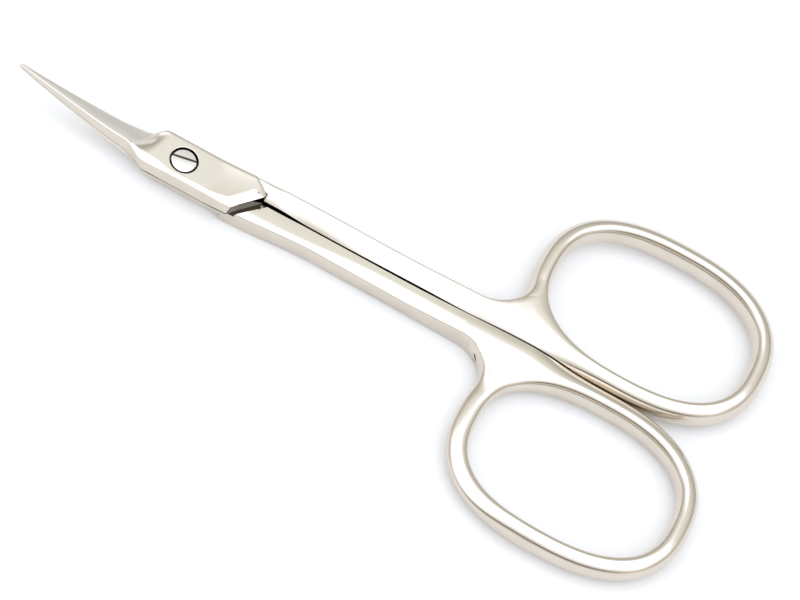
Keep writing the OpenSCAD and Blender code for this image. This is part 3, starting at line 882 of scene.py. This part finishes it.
def floor_material():
    """White paper: shades softly for shadows, and shows white to the camera and in reflections."""
    added_white = 0.14
    mat, tree, shader = new_material("white_table")
    out = next(n for n in tree.nodes if n.type == "OUTPUT_MATERIAL")
    shader.inputs["Base Color"].default_value = (0.715, 0.70, 0.68, 1.0)
    shader.inputs["Roughness"].default_value = 0.9
    shader.inputs["Specular IOR Level"].default_value = 0.0
    glow = node(tree, "ShaderNodeEmission", Color=(1.0, 1.0, 1.0, 1.0))
    path = node(tree, "ShaderNodeLightPath")
    seen = node(tree, "ShaderNodeMath", operation="MAXIMUM")
    link(tree, path, "Is Camera Ray", seen, 0)
    link(tree, path, "Is Glossy Ray", seen, 1)
    strength = node(tree, "ShaderNodeMath", operation="MULTIPLY")
    link(tree, seen, "Value", strength, 0)
    strength.inputs[1].default_value = added_white
    link(tree, strength, "Value", glow, "Strength")
    add = node(tree, "ShaderNodeAddShader")
    link(tree, shader, 0, add, 0)
    link(tree, glow, 0, add, 1)
    link(tree, add, 0, out, "Surface")
    return mat


# Operators

def settings():
    """The four groups of settings of the scene."""
    s = bpy.context.scene
    return s.scissors_handle, s.scissors_blade, s.scissors_finish, s.scissors_studio


def dress(obj, mat):
    """Gives the object this one material."""
    obj.data.materials.clear()
    obj.data.materials.append(mat)


class SCISSORS_OT_halves(bpy.types.Operator):
    """Builds the two forged halves, each with its blade, lap, shank and finger bow."""
    bl_idname = "scissors.halves"
    bl_label = "Forged halves"

    def execute(self, context):
        handle, blade, finish, _ = settings()
        for name, node_name, body, up, slot in (
                ("upper_forging", UPPER, BODY_UPPER, 1, "upper_half_steel"),
                ("lower_forging", LOWER, BODY_LOWER, -1, "lower_half_steel")):
            obj = half_object(name, up, handle, blade)
            mat = plated_metal(name + "_nickel", list(finish.nickel), list(finish.ground),
                               fine=900.0 + 40 * up)
            dress(obj, mat)
            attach(obj, body)
            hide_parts(node_name)
        return {"FINISHED"}


class SCISSORS_OT_screw(bpy.types.Operator):
    """Builds the pivot screw with its slotted head, journal and thread."""
    bl_idname = "scissors.screw"
    bl_label = "Pivot screw"

    def execute(self, context):
        _, _, finish, _ = settings()
        head, painted_dark = screw_sheets(head_r=1.45, head_t=0.95, slot_w=0.8, slot_t=0.42, turn=math.radians(12))
        # the far wall of the slot carries painted shade; the shaft has none
        obj = build_mesh("slotted_screw", head + shaft_sheets(), sharp_deg=35.0, painted_shade=painted_dark + [0.0])
        mat = plated_metal("screw_nickel", list(finish.screw), list(finish.ground), fine=1500.0)
        dress(obj, mat)
        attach(obj, BODY_LOWER)
        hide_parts(SCREW)
        return {"FINISHED"}


class SCISSORS_OT_studio(bpy.types.Operator):
    """Lays the table, hangs the lamps and sets the camera."""
    bl_idname = "scissors.studio"
    bl_label = "Table and studio"

    def execute(self, context):
        studio = settings()[3]
        mesh = bpy.data.meshes.new("table")
        half, z = 1.6, -0.00002
        mesh.from_pydata([(-half, -half, z), (half, -half, z), (half, half, z), (-half, half, z)], [],
                         [(0, 1, 2, 3)])
        table = bpy.data.objects.new("table", mesh)
        context.scene.collection.objects.link(table)
        dress(table, floor_material())
        self.lamp("overhead", at=Vector((0.1, 0.1, 1.0)) * 0.75, size=0.5, glow=0.6)
        self.world(context.scene)
        self.camera(context.scene, studio)
        return {"FINISHED"}

    def lamp(self, name, at, size, glow):
        """Round soft box at a place, facing the scissors: its power is pi times its area and brightness."""
        data = bpy.data.lights.new(name, "AREA")
        data.shape = "DISK"
        data.size = size
        data.energy = glow * math.pi * math.pi * size * size / 4
        obj = bpy.data.objects.new(name, data)
        obj.matrix_world = Matrix.Translation(at) @ (-at).to_track_quat("-Z", "Y").to_matrix().to_4x4()
        bpy.context.scene.collection.objects.link(obj)

    def world(self, scene):
        """Soft room by the angle from overhead toward the viewer: bright above, grey behind, a slit low."""
        world = bpy.data.worlds.new("pale_room")
        scene.world = world
        world.use_nodes = True
        tree = world.node_tree
        back = next(n for n in tree.nodes if n.type == "BACKGROUND")
        coord = node(tree, "ShaderNodeTexCoord")
        split = node(tree, "ShaderNodeSeparateXYZ")
        link(tree, coord, "Generated", split, "Vector")
        minus = node(tree, "ShaderNodeMath", operation="MULTIPLY")
        minus.inputs[1].default_value = -1.0
        link(tree, split, "Y", minus, 0)
        angle = node(tree, "ShaderNodeMath", operation="ARCTAN2")
        link(tree, minus, "Value", angle, 0)
        link(tree, split, "Z", angle, 1)
        sky = self.steps(tree, angle, "Value", [
            (-180, (0.60, 0.59, 0.57)), (-92, (0.52, 0.53, 0.50)), (-70, (0.64, 0.65, 0.62)),
            (-50, (0.82, 0.84, 0.82)), (-35, (1.05, 1.09, 1.06)), (-30, (1.11, 1.15, 1.14)),
            (-26, (1.62, 1.72, 1.9)), (45, (1.62, 1.72, 1.9)), (60, (1.0, 0.99, 0.97)),
            (90, (0.75, 0.72, 0.68)), (180, (0.60, 0.59, 0.57))])
        slit = self.steps(tree, angle, "Value", [
            (-180, (0, 0, 0)), (67, (0, 0, 0)), (71, (1, 1, 1)), (77, (1, 1, 1)), (81, (0, 0, 0)),
            (180, (0, 0, 0))])
        behind = map_range(tree, split, "Y", -0.85, -0.55, low=0.95, high=0.0, kind="SMOOTHSTEP")
        both = node(tree, "ShaderNodeMath", operation="MULTIPLY")
        link(tree, slit, "Color", both, 0)
        link(tree, behind, "Result", both, 1)
        dark = node(tree, "ShaderNodeMixRGB", Color2=(0.06, 0.055, 0.05, 1.0))
        link(tree, both, "Value", dark, "Fac")
        link(tree, sky, "Color", dark, "Color1")
        # straight to the sides the angle has no meaning, and the room is plain
        side = node(tree, "ShaderNodeMath", operation="ABSOLUTE")
        link(tree, split, "X", side, 0)
        aside = map_range(tree, side, "Value", 0.82, 0.97, kind="SMOOTHSTEP")
        room = node(tree, "ShaderNodeMixRGB", Color2=(0.78, 0.76, 0.73, 1.0))
        link(tree, aside, "Result", room, "Fac")
        link(tree, dark, "Color", room, "Color1")
        link(tree, room, "Color", back, "Color")
        back.inputs["Strength"].default_value = 1.0

    def steps(self, tree, source, out, stops):
        """Colour ramp over an angle, with stops in degrees from -180 to 180. Colours may pass 1."""
        turn = map_range(tree, source, out, -math.pi, math.pi)
        ramp = node(tree, "ShaderNodeValToRGB")
        link(tree, turn, "Result", ramp, "Fac")
        for _ in stops[1:-1]:
            ramp.color_ramp.elements.new(0.5)
        # all places first, because the ramp keeps its stops in order of place
        for element, (degrees, _) in zip(ramp.color_ramp.elements, stops):
            element.position = (degrees + 180) / 360
        for element, (_, colour) in zip(ramp.color_ramp.elements, stops):
            element.color = (*colour, 1.0)
        return ramp

    def camera(self, scene, studio):
        """Camera at the photograph's angle, turned by the photograph's roll."""
        az, el, roll, dist = studio.azimuth, studio.elevation, studio.roll, studio.distance
        right0 = Vector((math.cos(az), math.sin(az), 0))
        ahead = Vector((-math.sin(az), math.cos(az), 0))
        above = Vector((0, 0, 1))
        forward = math.cos(el) * ahead - math.sin(el) * above
        up0 = math.sin(el) * ahead + math.cos(el) * above
        right = math.cos(roll) * right0 - math.sin(roll) * up0
        up = math.sin(roll) * right0 + math.cos(roll) * up0
        target = Vector((0.0045, -0.00092, 0.0))
        m = Matrix((right, up, -forward)).transposed().to_4x4()
        m.translation = target - dist * forward
        data = bpy.data.cameras.new("viewer")
        data.lens, data.sensor_width = studio.lens, 36.0
        data.clip_start, data.clip_end = 0.01, 20.0
        cam = bpy.data.objects.new("viewer", data)
        cam.matrix_world = m
        scene.collection.objects.link(cam)
        scene.camera = cam


class SCISSORS_PT_panel(bpy.types.Panel):
    """Lists the sizes, colours and build steps."""
    bl_label = "Scissors"
    bl_space_type = "VIEW_3D"
    bl_region_type = "UI"
    bl_category = "Scissors"

    def draw(self, context):
        for group in settings():
            box = self.layout.box()
            for key in group.__annotations__:
                box.prop(group, key)
        for op in OPERATORS:
            self.layout.operator(op.bl_idname)


GROUPS = {
    "scissors_handle": HandleSettings,
    "scissors_blade": BladeSettings,
    "scissors_finish": FinishSettings,
    "scissors_studio": StudioSettings,
}
OPERATORS = (SCISSORS_OT_halves, SCISSORS_OT_screw, SCISSORS_OT_studio)


def register():
    for name, group in GROUPS.items():
        bpy.utils.register_class(group)
        setattr(bpy.types.Scene, name, PointerProperty(type=group))
    for cls in OPERATORS + (SCISSORS_PT_panel,):
        bpy.utils.register_class(cls)


def unregister():
    for cls in (SCISSORS_PT_panel,) + OPERATORS[::-1]:
        bpy.utils.unregister_class(cls)
    for name, group in GROUPS.items():
        delattr(bpy.types.Scene, name)
        bpy.utils.unregister_class(group)


def main():
    register()
    bpy.context.scene.view_settings.view_transform = "Standard"
    bpy.ops.scissors.halves()
    bpy.ops.scissors.screw()
    bpy.ops.scissors.studio()


if __name__ == "__main__":
    main()
